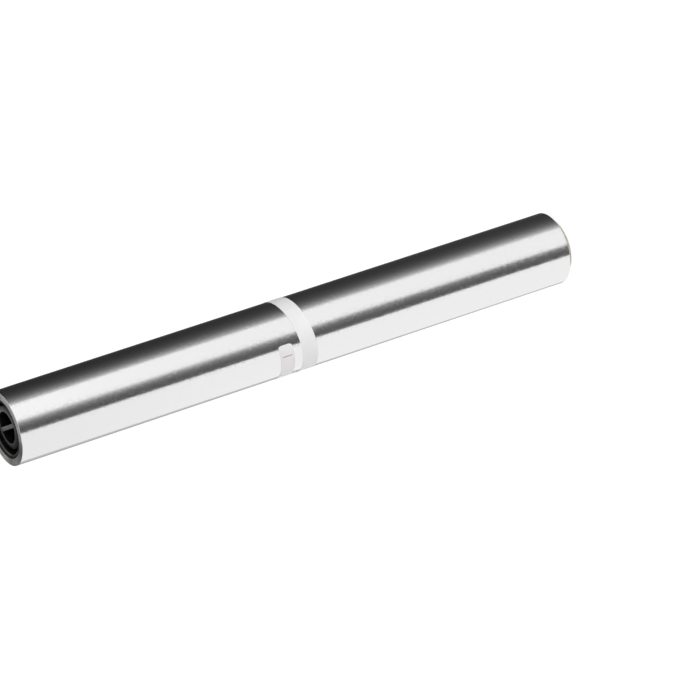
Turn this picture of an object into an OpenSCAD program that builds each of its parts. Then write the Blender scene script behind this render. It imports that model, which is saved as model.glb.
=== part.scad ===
// Catering roll of aluminium foil, wound on a board core, with a moulded plug
// pressed into one end of the core, a paper band round its middle and a paper
// starter tab that holds the free end of the foil down.
// The roll stands on the open end of its core. Z is the axis, and the origin is
// the middle of the ring that it stands on. All sizes are in millimetres.

/* [Foil] */
// Width of the foil, which is the length of the winding
foil_width = 450; // [290:1:600]
// Length of the foil on the roll, in metres
foil_length = 75; // [20:1:150]
// Thickness of one layer of foil, with the air wound in
foil_gauge = 0.0105; // [0.009:0.0005:0.02]
// Number of groups of turns that show as rings on each end
turn_rings = 10; // [4:1:16]
// The furthest that a group of turns sits back from the end
turn_setback = 0.4; // [0.1:0.05:1]

/* [Core] */
// Bore of the board core
core_bore = 40; // [36:0.5:76]
// Wall of the board core
core_wall = 1.7; // [1.2:0.1:4]
// How far the core stands out past the foil at its open end
core_proud = 4.5; // [0.5:0.5:12]
// Bevel on the cut edges of the board
core_bevel = 0.3; // [0.1:0.05:0.45]

/* [Plug sleeve] */
// Length of the sleeve that is pressed into the core
sleeve_length = 18; // [15:0.5:40]
// Wall of the sleeve
sleeve_wall = 1.5; // [1:0.1:2.5]
// How far the sleeve presses into the board, on the radius
sleeve_bite = 0.3; // [0.1:0.05:0.4]
// How far the sleeve's rim sits below the cut end of the core
sleeve_setback = 0.6; // [0:0.1:5]
// Width of the flat that is left on the sleeve's rim, beside its wide inner bevel
rim_land = 0.3; // [0.1:0.1:0.4]
// Taper on the sleeve's leading edge
sleeve_lead = 0.7; // [0.3:0.1:0.9]

/* [Plug hub] */
// Width of the groove between the sleeve and the hub
groove_width = 3.2; // [1:0.1:6]
// Wall of the hub
hub_wall = 4.3; // [1.6:0.1:5]
// How far the hub's face sits below the cut end of the core
hub_setback = 2.2; // [0:0.1:4]
// How far the hub's face slopes down towards its outer edge
hub_slope = 0.8; // [0.1:0.1:1.6]
// Length of the hub along the axis
hub_length = 14; // [11:0.5:30]
// Bevel on the hub's edges and on the outside of the sleeve's rim
moulded_bevel = 0.4; // [0.2:0.1:0.6]
// Depth of the web that joins the hub to the sleeve, from the hub's face
web_depth = 7.5; // [3:0.5:9]
// Thickness of that web
web_thickness = 1.6; // [1:0.1:2]
// Thickness of the bar across the hub
bar_thickness = 3.4; // [2:0.1:6]
// Depth of the bar, from its face
bar_depth = 10; // [4:0.5:10.5]
// How far the bar's ends run into the wall of the hub
bar_root = 1.2; // [0.4:0.1:1.5]

/* [Paper band] */
// Width of the paper band
band_width = 12.3; // [6:0.1:40]
// Thickness of the band's paper
band_paper = 0.12; // [0.08:0.01:0.3]
// Thickness of the glue under the band and the tab
glue_line = 0.02; // [0.01:0.01:0.1]
// Length of the band's glued lap
band_lap = 16; // [5:1:40]
// Distance of the band's middle below the middle of the foil
band_offset = 1.5; // [-60:0.05:60]
// Angle by which the band and the tab lean from square to the roll
paper_lean = 7.4; // [0:0.1:12]

/* [Starter tab] */
// Width of the starter tab, along the roll
tab_width = 11.2; // [6:0.1:30]
// Length of the starter tab, round the roll
tab_length = 38; // [15:1:60]
// Thickness of the tab's paper
tab_paper = 0.12; // [0.08:0.01:0.3]
// Gap between the starter tab and the band
tab_gap = 6.5; // [0.5:0.5:60]
// Angle from the front of the roll to the start of the tab
tab_start = 13; // [0:1:120]

/* [Hidden] */
$fn = 96;

// Radii, from the core outwards
core_r = core_bore / 2;
core_outer_r = core_r + core_wall;
foil_section = foil_length * 1000 * foil_gauge;
foil_r = sqrt(core_outer_r * core_outer_r + foil_section / PI);
paper_r = foil_r + glue_line;

// Radii of the plug, from the core inwards
sleeve_r = core_r + sleeve_bite;
sleeve_inner_r = sleeve_r - sleeve_wall;
sleeve_mouth = sleeve_wall - moulded_bevel - rim_land;
hub_r = sleeve_inner_r - groove_width;
hub_inner_r = hub_r - hub_wall;

// Levels along the axis
foil_low = core_proud;
foil_top = foil_low + foil_width;
foil_middle = (foil_low + foil_top) / 2;
core_top = foil_top;
sleeve_top = core_top - sleeve_setback;
sleeve_low = sleeve_top - sleeve_length;
hub_top = core_top - hub_setback;
hub_low = hub_top - hub_length;
web_top = hub_top - web_depth;
bar_top = hub_top - moulded_bevel;
band_middle = foil_middle - band_offset;
tab_shift = (band_width / 2 + tab_gap + tab_width / 2) / cos(paper_lean);
tab_middle = band_middle + tab_shift;

// The front of the roll faces -Y, and the tab starts there and runs towards -X
front_angle = 270;
back_angle = 90;

// The share of the full setback at which each group of turns sits: successive
// multiples of the golden ratio spread them with no visible rule, and the
// outermost group lies flush
golden = (sqrt(5) - 1) / 2;
function turn_back(i) = turn_setback * ((i * golden) - floor(i * golden));
function ring_r(i) = foil_r - i * (foil_r - core_outer_r) / turn_rings;

// A length round a cylinder as an angle
function wrap_angle(length, r) = length / r * 180 / PI;

// Wall between two radii and two levels, turned round the axis
module ring(inner, outer, low, high, angle = 360) {
    rotate_extrude(angle = angle)
        translate([inner, low])
            square([outer - inner, high - low]);
}

// Paper strip wrapped round the foil: what lies between two parallel planes that
// lean from square to the axis, cut from the children, which are rings of paper
module leaning_strip(middle, width) {
    slab = 3 * foil_r;
    intersection() {
        union() children();
        translate([0, 0, middle])
            rotate([0, -paper_lean, 0])
                cube([slab, slab, width], center = true);
    }
}

// Half the length of a ring from which a leaning strip of a width can be cut
function strip_reach(width) = width + foil_r * tan(paper_lean);

// The wound foil: one solid, with its groups of turns stepped on both ends
module foil_roll() {
    low_end = [for (i = [0:turn_rings - 1], side = [0, 1])
        [ring_r(i + side), foil_low + turn_back(i)]];
    top_end = [for (i = [turn_rings - 1:-1:0], side = [1, 0])
        [ring_r(i + side), foil_top - turn_back(i)]];
    color("#cfd1d4")
        rotate_extrude()
            polygon(concat(low_end, top_end));
}

// The board core: a plain tube that the plug has pressed a little wider
module core_tube() {
    color("#b79a72")
        rotate_extrude()
            polygon([
                [core_r + core_bevel, 0],
                [core_outer_r - core_bevel, 0],
                [core_outer_r, core_bevel],
                [core_outer_r, core_top - core_bevel],
                [core_outer_r - core_bevel, core_top],
                [sleeve_r + core_bevel, core_top],
                [sleeve_r, core_top - core_bevel],
                [sleeve_r, sleeve_low],
                [core_r, sleeve_low],
                [core_r, core_bevel]
            ]);
}

// The sleeve that grips the board, tapered where it goes in first, with a wide
// bevel inside its rim that leads a dispenser's dog in
module plug_sleeve() {
    rotate_extrude()
        polygon([
            [sleeve_inner_r, sleeve_low],
            [sleeve_r - sleeve_lead, sleeve_low],
            [sleeve_r, sleeve_low + 2 * sleeve_lead],
            [sleeve_r, sleeve_top - moulded_bevel],
            [sleeve_r - moulded_bevel, sleeve_top],
            [sleeve_inner_r + sleeve_mouth, sleeve_top],
            [sleeve_inner_r, sleeve_top - sleeve_mouth]
        ]);
}

// The round hub, with a face that slopes down outwards and is bevelled at its edges
module plug_hub() {
    rotate_extrude()
        polygon([
            [hub_inner_r, hub_low],
            [hub_r - moulded_bevel, hub_low],
            [hub_r, hub_low + moulded_bevel],
            [hub_r, hub_top - hub_slope - moulded_bevel],
            [hub_r - moulded_bevel, hub_top - hub_slope],
            [hub_inner_r + moulded_bevel, hub_top],
            [hub_inner_r, hub_top - moulded_bevel]
        ]);
}

// The bar across the hub, which parts its bore into two windows
module plug_bar() {
    reach = hub_inner_r + bar_root;
    translate([-bar_thickness / 2, -reach, bar_top - bar_depth])
        cube([bar_thickness, 2 * reach, bar_depth]);
}

// The moulded plug: sleeve, web, hub and bar in one piece
module end_plug() {
    color("#1d1d1f")
        union() {
            plug_sleeve();
            plug_hub();
            plug_bar();
            ring(hub_r - hub_wall / 2, sleeve_r - sleeve_wall / 2,
                 web_top - web_thickness, web_top);
        }
}

// The paper band, with its glued lap at the back of the roll
module paper_band() {
    lap = wrap_angle(band_lap, paper_r);
    low = band_middle - strip_reach(band_width);
    high = band_middle + strip_reach(band_width);
    color("#f1f1ef")
        leaning_strip(band_middle, band_width) {
            ring(paper_r, paper_r + band_paper, low, high);
            rotate([0, 0, back_angle - lap / 2])
                ring(paper_r + band_paper / 2, paper_r + 2 * band_paper, low, high, lap);
        }
}

// The starter tab, stuck over the free end of the foil
module starter_tab() {
    wrap = wrap_angle(tab_length, paper_r);
    low = tab_middle - strip_reach(tab_width);
    high = tab_middle + strip_reach(tab_width);
    color("#e6e2e0")
        leaning_strip(tab_middle, tab_width)
            rotate([0, 0, front_angle - tab_start - wrap])
                ring(paper_r, paper_r + tab_paper, low, high, wrap);
}

foil_roll();
core_tube();
end_plug();
paper_band();
starter_tab();
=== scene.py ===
"""Looks of a catering roll of aluminium foil on a board core.

The roll stands on the open end of its core. The camera lies on its side, so that the roll
shows as it lies in the photograph, with its plugged end nearer.
"""
import logging
import math
from abc import ABC, abstractmethod
from dataclasses import dataclass, field
from enum import Enum
from typing import Any

import bpy
import numpy as np
from bpy.types import Material, Node, NodeSocket, NodeTree, Object, World
from mathutils import Matrix, Vector


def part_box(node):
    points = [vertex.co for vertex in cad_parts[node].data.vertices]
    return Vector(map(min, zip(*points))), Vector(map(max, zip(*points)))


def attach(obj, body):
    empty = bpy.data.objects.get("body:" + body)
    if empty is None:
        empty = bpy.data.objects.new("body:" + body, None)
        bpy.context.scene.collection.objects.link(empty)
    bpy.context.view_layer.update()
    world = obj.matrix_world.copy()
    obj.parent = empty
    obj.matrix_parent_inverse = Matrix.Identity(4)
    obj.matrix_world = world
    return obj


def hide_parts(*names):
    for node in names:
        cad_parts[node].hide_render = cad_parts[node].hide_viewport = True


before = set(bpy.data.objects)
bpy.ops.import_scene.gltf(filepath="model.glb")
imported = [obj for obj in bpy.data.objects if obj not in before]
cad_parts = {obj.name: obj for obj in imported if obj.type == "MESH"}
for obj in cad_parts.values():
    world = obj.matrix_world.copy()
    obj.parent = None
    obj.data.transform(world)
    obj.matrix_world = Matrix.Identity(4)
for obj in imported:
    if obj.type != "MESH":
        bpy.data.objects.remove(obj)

LOG = logging.getLogger("foil_roll")
MM = 0.001
TURN = 2 * math.pi
BODY = "root"
GOLDEN = (math.sqrt(5) - 1) / 2
MIX_A, MIX_B, MIX_OUT = 6, 7, 2


class Rays(Enum):
    """Kinds of ray that a studio object can be kept from."""

    CAMERA = "visible_camera"
    DIFFUSE = "visible_diffuse"
    GLOSSY = "visible_glossy"
    TRANSMISSION = "visible_transmission"
    SHADOW = "visible_shadow"


class Region(Enum):
    """Material index of a part of the winding's surface."""

    SKIN = 0
    CUT_END = 1


def linear(hex_code: str) -> tuple[float, float, float, float]:
    """Turns an sRGB hex colour into linear RGBA.

    Each channel c becomes c / 12.92 up to 0.04045 and ((c + 0.055) / 1.055) ** 2.4 above.

    Args:
        hex_code: Six hex digits after a hash.

    Returns:
        The linear red, green and blue, and an alpha of 1.
    """
    srgb = np.array([int(hex_code[i:i + 2], 16) / 255 for i in (1, 3, 5)])
    rgb = np.where(srgb <= 0.04045, srgb / 12.92, ((srgb + 0.055) / 1.055) ** 2.4)
    return (*(float(c) for c in rgb), 1.0)


def add_node(tree: NodeTree, kind: str, inputs: dict[str | int, Any] | None = None,
             **settings: Any) -> Node:
    """Adds a shader node to a tree with its settings and inputs.

    Args:
        tree: The node tree that takes the node.
        kind: The node's type name, without the ShaderNode that all of them start with.
        inputs: Input name or index, with the value to set there, the socket to link
            there, or the node whose first output is linked there.
        **settings: Properties of the node itself.

    Returns:
        The new node.
    """
    node = tree.nodes.new("ShaderNode" + kind)
    for key, value in settings.items():
        setattr(node, key, value)
    for key, value in (inputs or {}).items():
        if isinstance(value, Node):
            value = value.outputs[0]
        if isinstance(value, NodeSocket):
            tree.links.new(value, node.inputs[key])
        else:
            node.inputs[key].default_value = value
    return node


def smooth_step(low: float, high: float, x: np.ndarray) -> np.ndarray:
    """Goes from 0 at low to 1 at high, as t * t * (3 - 2 * t) of the clipped share t."""
    t = np.clip((x - low) / (high - low), 0, 1)
    return t * t * (3 - 2 * t)


def polar(radius: Any, angle: Any, height: Any) -> np.ndarray:
    """Gives points with x = radius cos(angle), y = radius sin(angle) and z = height."""
    r, a, z = np.broadcast_arrays(radius, angle, height)
    return np.stack([r * np.cos(a), r * np.sin(a), z], axis=-1)


def rounded_outline(corners: np.ndarray, radii: np.ndarray, steps: int = 5) -> np.ndarray:
    """Rounds the corners of a closed outline with arcs.

    At a corner whose sides leave it along unit vectors p and q, with h half the angle
    between them, an arc of radius r touches the sides r / tan(h) from the corner, and its
    centre lies r / sin(h) from the corner along p + q.

    Args:
        corners: The outline's corners in order, one row each.
        radii: The radius at each corner.
        steps: Spans in each arc.

    Returns:
        The outline's points, one row each.
    """
    to_last = np.roll(corners, 1, axis=0) - corners
    to_next = np.roll(corners, -1, axis=0) - corners
    to_last /= np.linalg.norm(to_last, axis=1, keepdims=True)
    to_next /= np.linalg.norm(to_next, axis=1, keepdims=True)
    half = np.arccos(np.clip((to_last * to_next).sum(1), -1, 1)) / 2
    reach = (radii / np.tan(half))[:, None]
    middle = to_last + to_next
    middle /= np.linalg.norm(middle, axis=1, keepdims=True)
    centre = (corners + middle * (radii / np.sin(half))[:, None])[:, None]
    start, end = (corners + to_last * reach)[:, None], (corners + to_next * reach)[:, None]
    share = np.linspace(0, 1, steps + 1)[None, :, None]
    spoke = (start - centre) * (1 - share) + (end - centre) * share
    spoke /= np.linalg.norm(spoke, axis=2, keepdims=True)
    return (centre + spoke * radii[:, None, None]).reshape(-1, 2)


def surface(name: str, points: np.ndarray, closed_u: bool, closed_v: bool,
            uv: np.ndarray | None = None, regions: np.ndarray | None = None,
            caps: bool = False) -> Object:
    """Makes a mesh object from a grid of points, with its faces pointing outwards.

    The quad at (i, j) joins the points (i, j), (i + 1, j), (i + 1, j + 1) and (i, j + 1).
    The quads of a closed surface hold the volume sum(a . (b x c) + a . (c x d)) / 6, and
    where that is negative the faces are turned round.

    Args:
        name: Name of the object and its mesh.
        points: The grid, of shape (nu, nv, 3).
        closed_u: Whether the last row joins the first.
        closed_v: Whether the last column joins the first.
        uv: Texture coordinates of shape (nu + closed_u, nv + closed_v, 2).
        regions: Material index of each row of quads.
        caps: Whether the first and the last row are closed with a face each.

    Returns:
        The object, at the origin and linked to the scene.
    """
    nu, nv = points.shape[:2]
    spans = np.arange(nu - (not closed_u)), np.arange(nv - (not closed_v))
    i, j = np.meshgrid(*spans, indexing="ij")
    steps = ((0, 0), (1, 0), (1, 1), (0, 1))
    quads = np.stack([(i + a) % nu * nv + (j + b) % nv for a, b in steps], -1).reshape(-1, 4)
    co = points.reshape(-1, 3)
    a, b, c, d = (co[quads[:, k]] for k in range(4))
    turned = ((a * np.cross(b, c)).sum() + (a * np.cross(c, d)).sum()) < 0
    order = slice(None, None, -1) if turned else slice(None)
    faces = quads[:, order].tolist()
    if caps:
        first, last = list(range(nv)), list(range((nu - 1) * nv, nu * nv))
        faces += [first, last[::-1]] if turned else [first[::-1], last]
    mesh = bpy.data.meshes.new(name)
    mesh.from_pydata(co.tolist(), [], faces)
    if uv is not None:
        corner_uv = np.stack([uv[i + a, j + b] for a, b in steps], -2).reshape(-1, 4, 2)
        loops = np.zeros((len(mesh.loops), 2), np.float32)
        loops[:quads.size] = corner_uv[:, order].reshape(-1, 2)
        mesh.uv_layers.new(name="wrap").data.foreach_set("uv", loops.ravel())
    if regions is not None:
        mesh.polygons.foreach_set("material_index", regions[i].ravel().astype(np.int32))
    mesh.update()
    piece = bpy.data.objects.new(name, mesh)
    bpy.context.scene.collection.objects.link(piece)
    return piece


def dress(piece: Object, slot: str, node: str, *materials: Material,
          sharp_above: float = 35.0) -> Object:
    """Gives a piece its materials and shading, and sets it in the frame for a CAD node.

    Args:
        piece: The piece.
        slot: The record's material slot; not used.
        node: The CAD node that the piece stands for.
        *materials: The piece's materials, in the order of their indices.
        sharp_above: Angle in degrees past which an edge stays sharp.

    Returns:
        The same piece.
    """
    for material in materials:
        piece.data.materials.append(material)
    piece.data.shade_smooth()
    piece.data.set_sharp_from_angle(angle=math.radians(sharp_above))
    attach(piece, BODY)
    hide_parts(node)
    return piece


class Finish(ABC):
    """What a surface is made of, and how its maker left it."""

    name: str

    @abstractmethod
    def shade(self, tree: NodeTree) -> Node:
        """Adds the finish's nodes to an empty tree.

        Args:
            tree: The material's node tree.

        Returns:
            The shader.
        """

    def material(self) -> Material:
        """Makes the finish's material.

        Returns:
            The material, which has the finish's name.
        """
        material = bpy.data.materials.new(self.name)
        material.use_nodes = True
        tree = material.node_tree
        tree.nodes.clear()
        add_node(tree, "OutputMaterial", {"Surface": self.shade(tree)})
        return material


@dataclass(frozen=True)
class RolledFoil(Finish):
    """Household aluminium foil, shiny side out, as it leaves the polished rolls.

    It mirrors the room, smeared a little along the roll by the rolling lines that run round
    it. Fine scuffs, where it has rubbed on the next turn, mottle the dark reflections, and
    slack in the outer turns ruffles their edges.
    """

    name: str = "rolled_aluminium_foil"
    colour: str = "#fbfbfb"
    roughness: float = 0.09
    anisotropy: float = 0.95
    scuffed_roughness: float = 0.26
    scuffed_anisotropy: float = 0.4
    scuff_range: tuple[float, float] = (0.42, 0.7)
    scuff_size: float = 1.3 * MM
    peel_size: float = 1.2 * MM
    peel_depth: float = 0.028 * MM
    line_pitch: float = 0.5 * MM
    line_length: float = 25 * MM
    line_depth: float = 0.002 * MM

    def shade(self, tree: NodeTree) -> Node:
        """Mirrors the room, with rolling lines coarser than the real 0.01 mm, to show.

        Args:
            tree: The material's node tree.

        Returns:
            The shader.
        """
        place = add_node(tree, "TexCoord").outputs["Object"]
        peel = add_node(tree, "TexNoise", {
            "Vector": place, "Scale": 1 / self.peel_size, "Detail": 3.0, "Roughness": 0.6})
        along = add_node(tree, "Mapping", {"Vector": place, "Scale": (
            1 / self.line_length, 1 / self.line_length, 1 / self.line_pitch)})
        lines = add_node(tree, "TexNoise", {"Vector": along, "Scale": 1.0, "Detail": 2.0})
        coarse = add_node(tree, "Bump", {
            "Height": peel, "Distance": self.peel_depth, "Strength": 1.0})
        fine = add_node(tree, "Bump", {
            "Height": lines, "Distance": self.line_depth, "Strength": 1.0, "Normal": coarse})
        scuffs = add_node(tree, "TexNoise", {
            "Vector": place, "Scale": 1 / self.scuff_size, "Detail": 3.0})
        haze, grip = (
            add_node(tree, "MapRange", {
                "Value": scuffs, "From Min": self.scuff_range[0],
                "From Max": self.scuff_range[1], "To Min": clean, "To Max": scuffed})
            for clean, scuffed in ((self.roughness, self.scuffed_roughness),
                                   (self.anisotropy, self.scuffed_anisotropy)))
        tangent = add_node(tree, "Tangent", direction_type="UV_MAP", uv_map="wrap")
        return add_node(tree, "BsdfPrincipled", {
            "Base Color": linear(self.colour), "Metallic": 1.0, "Roughness": haze,
            "Anisotropic": grip, "Tangent": tangent, "Normal": fine})


@dataclass(frozen=True)
class SlitFoilEdges(Finish):
    """The slit edges of the foil's turns: bright metal, but ragged, so that it looks grey."""

    name: str = "slit_foil_edges"
    light: str = "#bcbebc"
    dark: str = "#7c7e7c"
    roughness: float = 0.4
    turn_pitch: float = 0.35 * MM
    ridge: float = 0.08 * MM

    def shade(self, tree: NodeTree) -> Node:
        """Draws rings of turns round the axis, coarser than the real 0.01 mm, to show.

        Args:
            tree: The material's node tree.

        Returns:
            The shader.
        """
        place = add_node(tree, "TexCoord").outputs["Object"]
        flat = add_node(tree, "VectorMath", {0: place, 1: (1, 1, 0)}, operation="MULTIPLY")
        radius = add_node(tree, "VectorMath", {0: flat}, operation="LENGTH")
        rings = add_node(tree, "TexNoise", {
            "W": radius.outputs["Value"], "Scale": 1 / self.turn_pitch, "Detail": 3.0,
            "Roughness": 0.7}, noise_dimensions="1D")
        tone = add_node(tree, "Mix", {
            0: rings, MIX_A: linear(self.dark), MIX_B: linear(self.light)}, data_type="RGBA")
        bump = add_node(tree, "Bump", {"Height": rings, "Distance": self.ridge, "Strength": 0.6})
        return add_node(tree, "BsdfPrincipled", {
            "Base Color": tone.outputs[MIX_OUT], "Metallic": 1.0,
            "Roughness": self.roughness, "Normal": bump})


@dataclass(frozen=True)
class WoundBoard(Finish):
    """Spiral-wound kraft board: dull brown, matt, flecked with fibres, with ply seams.

    The seam of the outer ply climbs the tube as a helix: a point lies on it where the sum
    of its share of a turn and its height over the pitch is a whole number. The cut ends,
    whose normals lie along the axis by more than the cut range, are painted darker: painted
    shade that stands for the shade on the board's ends, over the darker raw board of a cut.
    All that lies above a level just under the plugged end's top is painted dark too, as
    painted shade of the board inside the plugged end.
    """

    # Level above which the board is painted dark, as painted shade at the plugged end.
    shaded_above: float
    name: str = "spiral_wound_kraft_board"
    light: str = "#dcd7ca"
    dark: str = "#aca595"
    seam: str = "#8e8474"
    # Painted shade on the cut ends and at the plugged end, over the darker raw board of a cut.
    cut: str = "#24211d"
    cut_range: tuple[float, float] = (0.3, 0.7)
    roughness: float = 0.86
    specular: float = 0.3
    fibre_size: float = 1.6 * MM
    fleck_size: float = 0.35 * MM
    mottle_range: tuple[float, float] = (0.12, 0.4)
    seam_pitch: float = 90 * MM
    seam_share: float = 0.006
    nap: float = 0.05 * MM
    # Half the blend at the edge of that painted shade.
    shade_edge: float = 0.2 * MM

    def shade(self, tree: NodeTree) -> Node:
        """Lays fibres, flecks, the helical seam, and painted shade at the board's ends.

        Args:
            tree: The material's node tree.

        Returns:
            The shader.
        """
        place = add_node(tree, "TexCoord").outputs["Object"]
        fibres = add_node(tree, "TexNoise", {
            "Vector": place, "Scale": 1 / self.fibre_size, "Detail": 6.0,
            "Roughness": 0.7, "Distortion": 0.6})
        flecks = add_node(tree, "TexNoise", {
            "Vector": place, "Scale": 1 / self.fleck_size, "Detail": 2.0})
        mottle = add_node(tree, "Math", {0: fibres, 1: flecks}, operation="MULTIPLY")
        spread = add_node(tree, "MapRange", {
            "Value": mottle, "From Min": self.mottle_range[0],
            "From Max": self.mottle_range[1]})
        paper = add_node(tree, "Mix", {
            0: spread, MIX_A: linear(self.dark), MIX_B: linear(self.light)},
            data_type="RGBA")
        axes = add_node(tree, "SeparateXYZ", {0: place})
        angle = add_node(tree, "Math", {0: axes.outputs[1], 1: axes.outputs[0]},
                         operation="ARCTAN2")
        share = add_node(tree, "Math", {0: angle, 1: TURN}, operation="DIVIDE")
        climb = add_node(tree, "Math", {
            0: axes.outputs[2], 1: 1 / self.seam_pitch, 2: share}, operation="MULTIPLY_ADD")
        away = add_node(tree, "Math", {0: climb, 1: 1.0}, operation="PINGPONG")
        half = add_node(tree, "Math", {0: away, 1: 0.5}, operation="SUBTRACT")
        near = add_node(tree, "Math", {0: half}, operation="ABSOLUTE")
        on_seam = add_node(tree, "MapRange", {
            "Value": near, "From Min": 0.0, "From Max": self.seam_share,
            "To Min": 1.0, "To Max": 0.0})
        wound = add_node(tree, "Mix", {
            0: on_seam, MIX_A: paper.outputs[MIX_OUT], MIX_B: linear(self.seam)},
            data_type="RGBA")
        # Painted shade: the cut ends and the board above the plugged end's level are darkened.
        facing = add_node(tree, "SeparateXYZ", {
            0: add_node(tree, "NewGeometry").outputs["True Normal"]})
        upright = add_node(tree, "Math", {0: facing.outputs[2]}, operation="ABSOLUTE")
        on_cut = add_node(tree, "MapRange", {
            "Value": upright, "From Min": self.cut_range[0], "From Max": self.cut_range[1]})
        shaded_top = add_node(tree, "MapRange", {
            "Value": axes.outputs[2], "From Min": self.shaded_above - self.shade_edge,
            "From Max": self.shaded_above + self.shade_edge})
        painted_shade = add_node(tree, "Math", {0: on_cut, 1: shaded_top}, operation="MAXIMUM")
        tone = add_node(tree, "Mix", {
            0: painted_shade, MIX_A: wound.outputs[MIX_OUT], MIX_B: linear(self.cut)},
            data_type="RGBA")
        bump = add_node(tree, "Bump", {"Height": mottle, "Distance": self.nap, "Strength": 0.7})
        return add_node(tree, "BsdfPrincipled", {
            "Base Color": tone.outputs[MIX_OUT], "Roughness": self.roughness,
            "Specular IOR Level": self.specular, "Normal": bump})


@dataclass(frozen=True)
class MouldedPolymer(Finish):
    """Black injection-moulded polystyrene, satin, with the fine spark grain of its tool."""

    name: str = "moulded_black_polystyrene"
    colour: str = "#0a0a0b"
    worn: str = "#121214"
    glossy: float = 0.24
    satin: float = 0.36
    ior: float = 1.59
    grain_size: float = 0.25 * MM
    grain_depth: float = 0.006 * MM
    flow_size: float = 6 * MM
    flow_range: tuple[float, float] = (0.3, 0.7)

    def shade(self, tree: NodeTree) -> Node:
        """Lays cloudy flow marks, which are glossy to satin, and grain.

        Args:
            tree: The material's node tree.

        Returns:
            The shader.
        """
        place = add_node(tree, "TexCoord").outputs["Object"]
        flow = add_node(tree, "TexNoise", {
            "Vector": place, "Scale": 1 / self.flow_size, "Detail": 3.0, "Distortion": 0.8})
        grain = add_node(tree, "TexNoise", {
            "Vector": place, "Scale": 1 / self.grain_size, "Detail": 2.0})
        tone = add_node(tree, "Mix", {
            0: flow, MIX_A: linear(self.colour), MIX_B: linear(self.worn)}, data_type="RGBA")
        gloss = add_node(tree, "MapRange", {
            "Value": flow, "From Min": self.flow_range[0], "From Max": self.flow_range[1],
            "To Min": self.glossy, "To Max": self.satin})
        bump = add_node(tree, "Bump", {
            "Height": grain, "Distance": self.grain_depth, "Strength": 1.0})
        return add_node(tree, "BsdfPrincipled", {
            "Base Color": tone.outputs[MIX_OUT], "Roughness": gloss, "IOR": self.ior,
            "Normal": bump})


@dataclass(frozen=True)
class WhitePaper(Finish):
    """Machine-finished white paper: smooth, faintly cloudy where its fibres clump.

    A thin dark line can be painted across the paper, as painted shadow at the step where a
    paper layer ends. It lies where the distance from its place along the strip and from the
    strip's middle are both within its halves.
    """

    name: str = "white_band_paper"
    colour: str = "#f3f3f3"
    cloud: str = "#ededed"
    roughness: float = 0.62
    cloud_size: float = 2.5 * MM
    fibre_size: float = 0.4 * MM
    nap: float = 0.012 * MM
    # Painted shadow: the dark of the line stands for shade at the step where a paper layer ends.
    shadow_line: str = "#7d5b60"
    shadow_line_at: float = 0.0
    shadow_line_length: float = 0.0
    shadow_line_width: float = 0.5 * MM

    def shade(self, tree: NodeTree) -> Node:
        """Lays clouds, fibres and the painted shadow line.

        Args:
            tree: The material's node tree.

        Returns:
            The shader.
        """
        place = add_node(tree, "TexCoord").outputs["Object"]
        clouds = add_node(tree, "TexNoise", {
            "Vector": place, "Scale": 1 / self.cloud_size, "Detail": 4.0})
        fibres = add_node(tree, "TexNoise", {
            "Vector": place, "Scale": 1 / self.fibre_size, "Detail": 3.0})
        tone = add_node(tree, "Mix", {
            0: clouds, MIX_A: linear(self.colour), MIX_B: linear(self.cloud)},
            data_type="RGBA").outputs[MIX_OUT]
        if self.shadow_line_length > 0:
            tone = self.add_shadow_line(tree, tone)
        bump = add_node(tree, "Bump", {"Height": fibres, "Distance": self.nap, "Strength": 0.6})
        return add_node(tree, "BsdfPrincipled", {
            "Base Color": tone, "Roughness": self.roughness, "Normal": bump})

    def add_shadow_line(self, tree: NodeTree, paper: NodeSocket) -> NodeSocket:
        """Paints a shadow line, with soft edges, over a paper tone, as shade at a paper step.

        Args:
            tree: The material's node tree.
            paper: The socket with the paper's colour.

        Returns:
            The socket with the colour of the paper and its painted shadow line.
        """
        strip = add_node(tree, "SeparateXYZ", {0: add_node(tree, "UVMap", uv_map="wrap")})
        soft = self.shadow_line_width / 4
        inside = []
        for axis, middle, half in ((0, self.shadow_line_at, self.shadow_line_width / 2),
                                   (1, 0.0, self.shadow_line_length / 2)):
            offset = add_node(tree, "Math", {0: strip.outputs[axis], 1: middle},
                              operation="SUBTRACT")
            distance = add_node(tree, "Math", {0: offset}, operation="ABSOLUTE")
            inside.append(add_node(tree, "MapRange", {
                "Value": distance, "From Min": half - soft, "From Max": half + soft,
                "To Min": 1.0, "To Max": 0.0}))
        on_shadow_line = add_node(tree, "Math", dict(enumerate(inside)), operation="MULTIPLY")
        return add_node(tree, "Mix", {
            0: on_shadow_line, MIX_A: paper, MIX_B: linear(self.shadow_line)},
            data_type="RGBA").outputs[MIX_OUT]


@dataclass(frozen=True)
class FloorPaint(Finish):
    """A plain pale floor that the camera sees as white, with the object's shadow kept.

    The camera sees a weaker paint and the glow that makes up for it, so that the shadow
    stays but is faint. Every other ray sees the paint at its full strength.
    """

    name: str = "pale_floor"
    colour: str = "#f4f4f4"
    seen: str = "#a8a8a8"
    glow: float = 0.86

    def shade(self, tree: NodeTree) -> Node:
        """Adds the paint, and the glow that only the camera sees.

        Args:
            tree: The material's node tree.

        Returns:
            The shader.
        """
        by_camera = add_node(tree, "LightPath").outputs["Is Camera Ray"]
        tone = add_node(tree, "Mix", {
            0: by_camera, MIX_A: linear(self.colour), MIX_B: linear(self.seen)},
            data_type="RGBA")
        paint = add_node(tree, "BsdfDiffuse", {"Color": tone.outputs[MIX_OUT]})
        strength = add_node(tree, "Math", {0: by_camera, 1: self.glow}, operation="MULTIPLY")
        glow = add_node(tree, "Emission", {"Strength": strength})
        return add_node(tree, "AddShader", {0: paint, 1: glow})


@dataclass(frozen=True)
class Fade:
    """How a flag thins out inwards from an edge.

    At x degrees from the edge, the share of the light that gets past is
    skip * exp(-x / length). The skip changes evenly from its value at the level where the
    roll's foot is reflected to the one where its head is. By default the edge is hard.
    """

    length: float = 1.0
    head_skip: float = 0.0
    foot_skip: float = 0.0


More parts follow.
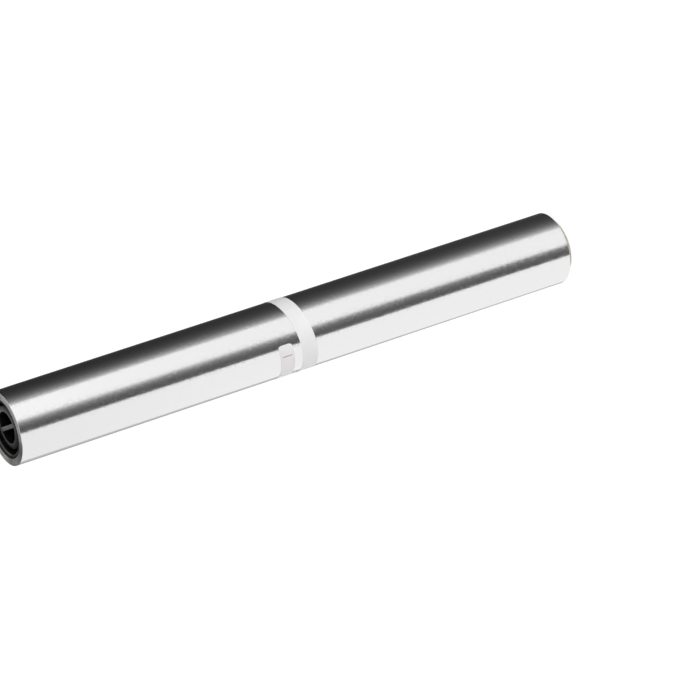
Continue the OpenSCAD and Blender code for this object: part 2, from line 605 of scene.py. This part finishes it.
@dataclass(frozen=True)
class FlagCloth(Finish):
    """The dark cloth of a studio flag, which only reflections see.

    Its UV runs over the flag's width in degrees and over its levels in metres. Both edges
    let light past as their fades say, and the larger of the two shares counts. Its greys
    are the ones at the head's level and at the foot's.
    """

    name: str
    greys: tuple[float, float]
    width: float
    first: Fade
    last: Fade
    foot_level: float
    head_level: float = -0.5

    def shade(self, tree: NodeTree) -> Node:
        """Mixes the dark cloth with the share of light that gets past.

        Args:
            tree: The material's node tree.

        Returns:
            The shader.
        """
        place = add_node(tree, "SeparateXYZ", {0: add_node(tree, "UVMap", uv_map="wrap")})
        levels = {"Value": place.outputs[1], "From Min": self.foot_level,
                  "From Max": self.head_level}
        shares = []
        for fade, edge, side in ((self.first, 0.0, -1.0), (self.last, self.width, 1.0)):
            depth = add_node(tree, "Math", {0: place.outputs[0], 1: edge}, operation="SUBTRACT")
            power = add_node(tree, "Math", {0: depth, 1: side / fade.length}, operation="MULTIPLY")
            thinned = add_node(tree, "Math", {0: power}, operation="EXPONENT")
            skip = add_node(tree, "MapRange", levels | {
                "To Min": fade.foot_skip, "To Max": fade.head_skip})
            shares.append(add_node(tree, "Math", {0: thinned, 1: skip}, operation="MULTIPLY"))
        past = add_node(tree, "Math", dict(enumerate(shares)), operation="MAXIMUM", use_clamp=True)
        grey = add_node(tree, "MapRange", levels | {
            "To Min": self.greys[1], "To Max": self.greys[0]})
        cloth = add_node(tree, "Emission", {"Strength": grey})
        return add_node(tree, "MixShader", {
            0: past, 1: cloth, 2: add_node(tree, "BsdfTransparent")})


@dataclass
class Winding:
    """The wound foil: a smooth skin, and two slit ends on which the turns show as a spiral."""

    inner: float
    outer: float
    low: float
    top: float
    free_edge: float
    groups: int = 14
    setback: float = 0.4 * MM
    edge_step: float = 0.02 * MM
    slack: float = 0.03 * MM
    around: int = 192
    end_rows: int = 57
    skin_rows: int = 300
    corner: float = 0.12 * MM
    sharp_above: float = 20.0

    def turn_back(self, share: np.ndarray, angle: np.ndarray) -> np.ndarray:
        """Gives how far each turn sits back from the cut plane.

        The turns are numbered from the outside as n = groups * share + angle / turn, so
        that they form a spiral. Group k = floor(n) sits back by the setback times the
        fraction of k times the golden ratio, and it eases into the next over its last
        fifth. The share is 0 on the outside, where the setback fades out.

        Args:
            share: The share of the way from the outside to the core.
            angle: The angle about the axis, in radians.

        Returns:
            The distances back from the cut plane.
        """
        number = self.groups * share + angle / TURN
        whole = np.floor(number)
        ease = smooth_step(0.8, 1.0, number - whole)
        back = (whole * GOLDEN % 1) * (1 - ease) + ((whole + 1) * GOLDEN % 1) * ease
        return self.setback * back * smooth_step(0.0, 1.2 / self.groups, share)

    def skin_radius(self, angle: np.ndarray, height: np.ndarray) -> np.ndarray:
        """Gives the radius of the skin.

        At the angle a and the level z it falls short of the outer radius by the slack
        times ((sin(5a + 23z) + sin(3a - 41z + 1.3)) / 2)^2, and by the edge step times
        1 - t, where t is the share of a turn from the free edge to a.

        Args:
            angle: The angle about the axis, in radians.
            height: The level along the axis.

        Returns:
            The radii.
        """
        waves = np.sin(5 * angle + 23 * height) + np.sin(3 * angle - 41 * height + 1.3)
        spiral = (angle - self.free_edge) / TURN % 1
        return self.outer - self.slack * (waves / 2) ** 2 - self.edge_step * (1 - spiral)

    def build(self) -> Object:
        """Builds the closed surface: bottom end, skin, top end and the wall at the core.

        The corner between the skin and an end stays sharp, because its angle is above the
        limit, so that the mirror's shading does not run over onto the end.

        Returns:
            The dressed piece.
        """
        angle = np.arange(self.around)[None] * TURN / self.around
        share = np.linspace(1, 0, self.end_rows)[:, None]
        end_radius = self.inner + (self.outer - self.inner - self.corner) * (1 - share)
        back = self.turn_back(share, angle)
        bottom = polar(end_radius, angle, self.low + back)
        height = np.linspace(self.low + self.corner, self.top - self.corner,
                             self.skin_rows)[:, None]
        skin = polar(self.skin_radius(angle, height), angle, height)
        top = polar(end_radius[::-1], angle, self.top - back[::-1])
        points = np.concatenate([bottom, skin, top])
        rows = len(points)
        regions = np.full(rows, Region.CUT_END.value)
        regions[self.end_rows - 1:self.end_rows + self.skin_rows] = Region.SKIN.value
        level = np.append(points[:, 0, 2], points[0, 0, 2])
        uv = np.stack(np.meshgrid(level, np.linspace(0, 1, self.around + 1),
                                  indexing="ij"), axis=-1)
        piece = surface("foil_winding", points, True, True, uv, regions)
        return dress(piece, "foil", "foil_roll", RolledFoil().material(),
                     SlitFoilEdges().material(), sharp_above=self.sharp_above)


@dataclass
class BoardCore:
    """The spiral-wound board tube, cut square with a slightly furred edge."""

    bore: float
    outer: float
    seat: float
    seat_low: float
    top: float
    edge: float = 0.25 * MM
    fur: float = 0.04 * MM
    # Depth under the top from which the board is painted dark, as painted shade at the plugged end.
    shaded_depth: float = 1.2 * MM
    around: int = 160
    long_rows: int = 60

    def build(self) -> Object:
        """Builds the tube by turning its section round the axis.

        The cut ends are furred: at the angle a they sink by the fur times
        ((sin(17a) + sin(29a + 1.7) + sin(43a + 4)) / 3)^2. The seat that the plug has
        pressed is wider than the bore, and its step is rounded by only a fifth of the
        radius of the cut edges.

        Returns:
            The dressed piece.
        """
        corners = np.array([
            (self.bore, 0), (self.outer, 0), (self.outer, self.top), (self.seat, self.top),
            (self.seat, self.seat_low), (self.bore, self.seat_low)])
        radii = np.array([1, 1, 1, 1, 0.2, 0.2]) * self.edge
        outline = self.lengthened(rounded_outline(corners, radii))
        angle = np.arange(self.around)[None] * TURN / self.around
        radius, level = outline[:, :1], outline[:, 1:]
        waves = (np.sin(17 * angle) + np.sin(29 * angle + 1.7) + np.sin(43 * angle + 4)) / 3
        at_end = smooth_step(self.edge, 0, np.minimum(level, self.top - level))
        inward = np.where(level < self.top / 2, 1.0, -1.0)
        height = level + inward * self.fur * waves ** 2 * at_end
        piece = surface("board_core", polar(radius, angle, height), True, True)
        # The board is painted dark from this level up, as painted shade at the plugged end.
        board = WoundBoard(shaded_above=self.top - self.shaded_depth)
        return dress(piece, "board", "core_tube", board.material())

    def lengthened(self, outline: np.ndarray) -> np.ndarray:
        """Adds rows along the outline's sides that are longer than one row.

        Args:
            outline: Points of the closed outline.

        Returns:
            The outline with evenly spaced points between its far points.
        """
        step = self.top / self.long_rows
        ends = np.roll(outline, -1, axis=0)
        counts = np.maximum(np.ceil(np.linalg.norm(ends - outline, axis=1) / step), 1)
        sides = [a + (b - a) * np.arange(n)[:, None] / n for a, b, n in zip(outline, ends, counts)]
        return np.concatenate(sides)


@dataclass
class DrivePlug:
    """The moulded plug: a sleeve, a web and a hub turned round the axis, and a bar.

    Its top is the sleeve's rim, which has a wide bevel inside and stands the sleeve's rise
    above the inner edge of the hub's face. That face slopes down to its outer edge.
    """

    seat: float
    low: float
    top: float
    sleeve_wall: float = 1.5 * MM
    sleeve_rise: float = 1.6 * MM
    rim_land: float = 0.3 * MM
    sleeve_lead: float = 0.7 * MM
    groove: float = 3.2 * MM
    hub_wall: float = 4.3 * MM
    hub_slope: float = 0.8 * MM
    hub_length: float = 14 * MM
    web_depth: float = 7.5 * MM
    web_thickness: float = 1.6 * MM
    bar_thickness: float = 3.4 * MM
    bar_depth: float = 10 * MM
    bar_drop: float = 0.4 * MM
    bar_root: float = 1.2 * MM
    edge: float = 0.4 * MM
    root: float = 0.8 * MM
    around: int = 128

    def build(self) -> Object:
        """Builds the turned body and joins the bar to it.

        Returns:
            The dressed piece.
        """
        body = self.turned_body()
        bar = self.cross_bar()
        joint = body.modifiers.new("bar", "BOOLEAN")
        joint.operation, joint.solver, joint.object = "UNION", "EXACT", bar
        graph = bpy.context.evaluated_depsgraph_get()
        joined = bpy.data.meshes.new_from_object(body.evaluated_get(graph))
        body.modifiers.clear()
        body.data = joined
        bpy.data.objects.remove(bar)
        body.name = joined.name = "drive_plug"
        return dress(body, "moulded_plastic", "end_plug", MouldedPolymer().material())

    def turned_body(self) -> Object:
        """Turns the rounded section of sleeve, web and hub round the axis.

        Returns:
            The turned body, not dressed yet.
        """
        sleeve_in = self.seat - self.sleeve_wall
        hub = sleeve_in - self.groove
        hub_in = hub - self.hub_wall
        face = self.top - self.sleeve_rise
        hub_low = face - self.hub_length
        web_top = face - self.web_depth
        web_low = web_top - self.web_thickness
        mouth = self.sleeve_wall - self.edge - self.rim_land
        section = np.array([
            (self.seat - self.sleeve_lead, self.low, self.edge / 2),
            (self.seat, self.low + 2 * self.sleeve_lead, self.edge),
            (self.seat, self.top, self.edge), (sleeve_in + mouth, self.top, self.edge / 2),
            (sleeve_in, self.top - mouth, self.edge / 2),
            (sleeve_in, web_top, self.root), (hub, web_top, self.root),
            (hub, face - self.hub_slope, self.edge), (hub_in, face, self.edge),
            (hub_in, hub_low, self.edge), (hub, hub_low, self.edge),
            (hub, web_low, self.root), (sleeve_in, web_low, self.root),
            (sleeve_in, self.low, self.edge / 2)])
        outline = rounded_outline(section[:, :2], section[:, 2])
        angle = np.arange(self.around)[None] * TURN / self.around
        points = polar(outline[:, :1], angle, outline[:, 1:])
        return surface("plug_body", points, True, True)

    def cross_bar(self) -> Object:
        """Extrudes the bar's rounded section along Y, into the hub's wall at both ends.

        Returns:
            The bar, not dressed yet.
        """
        hub_in = self.seat - self.sleeve_wall - self.groove - self.hub_wall
        high = self.top - self.sleeve_rise - self.bar_drop
        half, low = self.bar_thickness / 2, high - self.bar_depth
        corners = np.array([(-half, low), (half, low), (half, high), (-half, high)])
        outline = rounded_outline(corners, np.full(4, self.edge))
        reach = hub_in + self.bar_root
        y = np.array([-reach, reach])[:, None]
        x, z = outline[None, :, 0], outline[None, :, 1]
        points = np.stack(np.broadcast_arrays(x, y, z), axis=-1)
        return surface("plug_bar", points, False, True, caps=True)


@dataclass
class PaperStrip:
    """A strip of paper stuck round the roll: the band, or the starter tab.

    Along the strip, a point at arc length s lies at the angle start + s / radius. Across
    it, the section is a flat loop with the paper's thickness. The strip leans from square
    to the roll: a point at x, and at the distance d from the strip's middle line, lies at
    the level middle + x * tan(lean) + d / cos(lean).
    """

    name: str
    slot: str
    node: str
    finish: WhitePaper
    radius: float
    start: float
    length: float
    middle: float
    width: float
    lean: float
    paper: float = 0.11 * MM
    step_at: float = 0.0
    step: float = 0.0
    ramp: float = 3 * MM
    corner: float = 0.0
    corner_rows: int = 8
    ruffle: float = 0.02 * MM
    ruffle_length: float = 7 * MM
    spacing: float = 0.6 * MM
    across: int = 12

    def build(self) -> Object:
        """Builds the strip as a closed shell.

        Up to step_at the strip climbs by the step over the ramp, onto its own start. Its
        long edges stand off the roll by the ruffle times |sin(s / ruffle_length)|, and
        the rest by that times the cube of its share of the way out from the middle.

        Returns:
            The dressed piece.
        """
        s = self.stations()[:, None]
        climb = self.step * smooth_step(self.step_at - self.ramp, self.step_at, s)
        side = np.linspace(-1, 1, self.across)[None]
        wave = self.ruffle * np.sin(s / self.ruffle_length) * np.abs(side) ** 3
        inner = self.radius + climb + np.abs(wave)
        radius = np.concatenate([inner, inner[:, ::-1] + self.paper], axis=1)
        across = np.concatenate([side, side[:, ::-1]], axis=1)
        points = polar(radius, self.start + s / self.radius, 0.0)
        points[..., 2] = (self.middle + points[..., 0] * math.tan(self.lean)
                          + self.half_width(s) * across / math.cos(self.lean))
        loop = np.append(across[0], across[0, 0]) * self.width / 2
        uv = np.stack(np.meshgrid(s[:, 0], loop, indexing="ij"), axis=-1)
        piece = surface(self.name, points, False, True, uv, caps=True)
        return dress(piece, self.slot, self.node, self.finish.material())

    def stations(self) -> np.ndarray:
        """Gives the arc lengths of the strip's rows, which crowd in at rounded corners.

        Returns:
            The arc lengths, from 0 to the strip's length.
        """
        s = np.linspace(0, self.length, int(self.length / self.spacing))
        if not self.corner:
            return s
        turned = np.linspace(0, math.pi / 2, self.corner_rows + 1)[:-1]
        ends = self.corner * (1 - np.cos(turned))
        between = s[(s > self.corner) & (s < self.length - self.corner)]
        return np.concatenate([ends, between, (self.length - ends)[::-1]])

    def half_width(self, s: np.ndarray) -> np.ndarray:
        """Gives half the strip's width, which follows an arc at each rounded corner.

        With the corner's radius c, at the distance e < c from the nearer end it is
        w - c + sqrt(c^2 - (c - e)^2).

        Args:
            s: Arc lengths along the strip.

        Returns:
            Half the width at each.
        """
        end = np.minimum(s, self.length - s)
        inside = np.clip(self.corner - end, 0, self.corner)
        return self.width / 2 - self.corner + np.sqrt(self.corner ** 2 - inside ** 2)


@dataclass
class Flag:
    """A curved dark flag that stands round the roll and shows only in its reflections.

    It covers the directions from start to start + width degrees, counted from the front
    towards -X. Its first and last edges lean by their own degrees for each metre down, and
    its upper edge climbs evenly from high to high + rise. Its greys are the ones that the
    roll's head and foot reflect, the second from the foot level down.
    """

    name: str
    start: float
    width: float
    greys: tuple[float, float]
    first: Fade
    last: Fade
    leans: tuple[float, float] = (0.0, 0.0)
    distance: float = 2.5
    low: float = -4.0
    high: float = 1.0
    rise: float = 0.0
    foot_level: float = -1.4
    columns: int = 64
    rows: int = 48

    def build(self) -> Object:
        """Builds the flag and keeps it from every ray but the glossy ones.

        A point at t degrees from the front lies at -90 - t degrees from +X.

        Returns:
            The flag.
        """
        across = np.linspace(0, self.width, self.columns)[:, None]
        top = self.high + self.rise * across / self.width
        level = self.low + (top - self.low) * np.linspace(0, 1, self.rows)
        lean = self.leans[0] + (self.leans[1] - self.leans[0]) * across / self.width
        turned = self.start + across - lean * level
        points = polar(self.distance, np.radians(-90 - turned), level)
        uv = np.stack(np.broadcast_arrays(across, level), axis=-1)
        flag = surface(self.name, points, False, False, uv)
        cloth = FlagCloth(self.name, self.greys, self.width, self.first, self.last, self.foot_level)
        flag.data.materials.append(cloth.material())
        hide_from(flag, Rays.CAMERA, Rays.DIFFUSE, Rays.TRANSMISSION, Rays.SHADOW)
        return flag


def hide_from(item: Object, *rays: Rays) -> None:
    """Keeps an object from some kinds of ray."""
    for kind in rays:
        setattr(item, kind.value, False)


@dataclass
class Softbox:
    """A large soft lamp that looks at the roll's middle from a direction."""

    name: str
    azimuth: float
    elevation: float
    power: float
    distance: float = 3.0
    size: float = 1.8

    def build(self, target: Vector) -> Object:
        """Makes the lamp.

        Its place is the target plus the distance along (sin a cos e, -cos a cos e, sin e),
        for the azimuth a and the elevation e.

        Args:
            target: The point that the lamp looks at.

        Returns:
            The lamp.
        """
        light = bpy.data.lights.new(self.name, "AREA")
        light.shape, light.size, light.energy = "SQUARE", self.size, self.power
        lamp = bpy.data.objects.new(self.name, light)
        a, e = math.radians(self.azimuth), math.radians(self.elevation)
        away = Vector((math.sin(a) * math.cos(e), -math.cos(a) * math.cos(e), math.sin(e)))
        lamp.location = target + away * self.distance
        lamp.rotation_mode = "QUATERNION"
        lamp.rotation_quaternion = away.to_track_quat("Z", "Y")
        hide_from(lamp, Rays.GLOSSY)
        bpy.context.scene.collection.objects.link(lamp)
        return lamp


@dataclass
class Studio:
    """The floor, flags, lamps, world and camera round the roll."""

    foil_low: float
    height: float
    floor_half: float = 6.0
    ambient: float = 0.3
    camera_offset: tuple[float, float, float] = (-0.01511, -2.56655, 1.44561)
    camera_elevation: float = 26.14
    camera_roll: float = -108.455
    focal_length: float = 212.5
    sensor: float = 36.0
    clip: tuple[float, float] = (0.05, 50.0)
    steep_fall: tuple[float, float] = (-0.93, -0.85)
    steep_sides: tuple[float, float] = (-0.25, 0.2)
    steep_greys: tuple[float, float] = (0.03, 0.75)
    flags: list[Flag] = field(default_factory=lambda: [
        Flag("far_flag", 180, 116.2, (0.023, 0.036), Fade(8, 0.35, 0.35),
             Fade(12, 0.62, 0.8), (4, 8.6), high=0.4, rise=1.2),
        Flag("rear_flag", 126.8, 52.8, (0.34, 0.34), Fade(10.5, 1.0, 1.0),
             Fade(10, 0.3, 0.3), (16, 8), high=0.5),
        Flag("strip_flag", -19.8, 44, (0.068, 0.084), Fade(8.6, 1.0, 0.28),
             Fade(0.4, 1.0, 1.0), (18.5, 11.8)),
        Flag("front_veil", -95, 113, (0.886, 0.886), Fade(), Fade(), distance=2.6,
             high=-0.6),
        Flag("side_veil", 18, 134, (0.815, 0.886), Fade(), Fade(), distance=2.6,
             foot_level=-0.85),
        Flag("head_flag", 70, 109, (0.01, 0.01), Fade(12, 0.2, 0.2), Fade(5, 0.6, 0.6),
             low=0.6, high=5.0),
        Flag("crown_flag", 188, 34, (0.01, 0.01), Fade(3, 0.6, 0.6), Fade(6, 0.6, 0.6),
             low=0.6, high=5.0)])
    lamps: list[Softbox] = field(default_factory=lambda: [
        Softbox("key_softbox", 15, 10, 62), Softbox("fill_softbox", -115, 6, 51)])

    def build(self) -> None:
        """Makes the whole studio."""
        self.floor()
        self.world()
        self.camera()
        for flag in self.flags:
            flag.build()
        for lamp in self.lamps:
            lamp.build(Vector((0, 0, self.height / 2)))
        bpy.context.scene.view_settings.view_transform = "Standard"

    def floor(self) -> Object:
        """Makes the floor, which the foil's reflections leave out.

        Returns:
            The floor.
        """
        side = np.linspace(-self.floor_half, self.floor_half, 3)
        x, y = np.meshgrid(side, side, indexing="ij")
        floor = surface("floor", np.stack([x, y, np.zeros_like(x)], axis=-1), False, False)
        floor.data.materials.append(FloorPaint().material())
        hide_from(floor, Rays.GLOSSY)
        return floor

    def world(self) -> World:
        """Makes the world: white to the camera and to gloss, and an even soft light.

        Gloss sees grey instead below the flags, so that the foil keeps its shape from
        above. By the z of the ray's direction, the grey is full up to the first steep fall
        and gone from the second. By its x, the grey goes from the first steep grey at the
        first of the steep sides to the second at the other.

        Returns:
            The world.
        """
        world = bpy.data.worlds.new("studio")
        world.use_nodes = True
        tree = world.node_tree
        tree.nodes.clear()
        rays = add_node(tree, "LightPath")
        seen = rays.outputs["Is Camera Ray"]
        for kind in ("Is Glossy Ray", "Is Transmission Ray"):
            seen = add_node(tree, "Math", {0: seen, 1: rays.outputs[kind]}, operation="MAXIMUM")
        strength = add_node(tree, "MapRange", {
            "Value": seen, "To Min": self.ambient, "To Max": 1.0})
        heading = add_node(tree, "SeparateXYZ", {
            0: add_node(tree, "TexCoord").outputs["Generated"]})
        steep = add_node(tree, "MapRange", {
            "Value": heading.outputs[2], "From Min": self.steep_fall[0],
            "From Max": self.steep_fall[1], "To Min": 1.0, "To Max": 0.0})
        steep_gloss = add_node(tree, "Math", {
            0: steep, 1: rays.outputs["Is Glossy Ray"]}, operation="MULTIPLY")
        below = add_node(tree, "MapRange", {
            "Value": heading.outputs[0], "From Min": self.steep_sides[0],
            "From Max": self.steep_sides[1], "To Min": self.steep_greys[0],
            "To Max": self.steep_greys[1]})
        colour = add_node(tree, "Mix", {0: steep_gloss, MIX_A: (1, 1, 1, 1), MIX_B: below},
                          data_type="RGBA")
        light = add_node(tree, "Background", {
            "Color": colour.outputs[MIX_OUT], "Strength": strength})
        add_node(tree, "OutputWorld", {"Surface": light})
        bpy.context.scene.world = world
        return world

    def camera(self) -> Object:
        """Makes the camera, which looks along +Y and down, rolled onto its side.

        With the elevation e and the roll r, the level camera's right is (1, 0, 0) and its
        up is (0, sin e, cos e). Rolled, right is cos r times the first plus sin r times
        the second, and up is cos r times the second minus sin r times the first.

        Returns:
            The camera.
        """
        lens = bpy.data.cameras.new("camera")
        lens.lens, lens.sensor_width = self.focal_length, self.sensor
        lens.clip_start, lens.clip_end = self.clip
        camera = bpy.data.objects.new("camera", lens)
        e, r = math.radians(self.camera_elevation), math.radians(self.camera_roll)
        level_right = Vector((1, 0, 0))
        level_up = Vector((0, math.sin(e), math.cos(e)))
        right = level_right * math.cos(r) + level_up * math.sin(r)
        up = level_up * math.cos(r) - level_right * math.sin(r)
        place = Vector(self.camera_offset) + Vector((0, 0, self.foil_low))
        turn = Matrix((right, up, right.cross(up))).transposed().to_4x4()
        camera.matrix_world = Matrix.Translation(place) @ turn
        bpy.context.scene.collection.objects.link(camera)
        bpy.context.scene.camera = camera
        return camera


@dataclass
class FoilRoll:
    """The whole roll, whose parts take their sizes from the frame's boxes and from here.

    The tab's end is counted in degrees from the front towards -X, and the foil's free edge
    lies under the tab, at a share of its length.
    """

    core_wall: float = 1.7 * MM
    glue_line: float = 0.02 * MM
    lean: float = math.radians(7.4)
    band_width: float = 12.3 * MM
    band_lap: float = 16 * MM
    lap_step: float = 0.12 * MM
    tab_gap: float = 6.5 * MM
    tab_width: float = 11.2 * MM
    tab_length: float = 38 * MM
    tab_from_front: float = 13.0
    tab_corner: float = 2.5 * MM
    # Place and length of the tab's painted shadow line, shade at a step of the paper.
    shadow_line_length: float = 7.5 * MM
    shadow_line_from_end: float = 8.8 * MM
    free_edge_share: float = 0.4

    def parts(self) -> list[Winding | BoardCore | DrivePlug | PaperStrip]:
        """Sizes the five parts.

        Returns:
            The parts, from the foil to the papers on it.
        """
        foil_low, foil_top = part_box("foil_roll")
        core_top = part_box("core_tube")[1]
        plug_low, plug_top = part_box("end_plug")
        band_low, band_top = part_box("paper_band")
        core_r, foil_r = core_top.y, foil_top.y
        paper_r = foil_r + self.glue_line
        middle = (band_low.z + band_top.z) / 2
        tab_start = math.radians(270 - self.tab_from_front) - self.tab_length / paper_r
        free_edge = tab_start + self.free_edge_share * self.tab_length / paper_r
        return [
            Winding(core_r, foil_r, foil_low.z, foil_top.z, free_edge),
            BoardCore(core_r - self.core_wall, core_r, plug_top.y, plug_low.z, core_top.z),
            DrivePlug(plug_top.y, plug_low.z, plug_top.z),
            *self.papers(paper_r, middle, tab_start)]

    def papers(self, radius: float, middle: float, tab_start: float) -> list[PaperStrip]:
        """Describes the band, whose lap is glued at the back, and the tab beside it.

        Args:
            radius: Radius of the papers' inner faces.
            middle: Level of the band's middle line.
            tab_start: Angle at which the tab starts, in radians.

        Returns:
            The band and the tab.
        """
        round_roll = TURN * radius
        between = self.band_width / 2 + self.tab_gap + self.tab_width / 2
        # The label carries the painted shadow line.
        label = WhitePaper("starter_label_paper", colour="#f3f0f1", cloud="#ede9ea",
                           shadow_line_at=self.tab_length - self.shadow_line_from_end,
                           shadow_line_length=self.shadow_line_length)
        return [
            PaperStrip("wrapper_band", "band_paper", "paper_band", WhitePaper(), radius,
                       math.radians(90) - self.band_lap / 2 / radius,
                       round_roll + self.band_lap, middle, self.band_width, self.lean,
                       step_at=round_roll, step=self.lap_step),
            PaperStrip("free_end_tab", "tab_paper", "starter_tab", label, radius, tab_start,
                       self.tab_length, middle + between / math.cos(self.lean),
                       self.tab_width, self.lean, corner=self.tab_corner)]


def main() -> None:
    """Builds the roll's parts in order, then the studio."""
    logging.basicConfig(level=logging.INFO, format="%(name)s: %(message)s")
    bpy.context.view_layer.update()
    foil_low, core_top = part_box("foil_roll")[0].z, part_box("core_tube")[1].z
    for part in FoilRoll().parts():
        piece = part.build()
        LOG.info("%s: %d vertices, %d faces", piece.name, len(piece.data.vertices),
                 len(piece.data.polygons))
    Studio(foil_low, core_top).build()


if __name__ == "__main__":
    main()
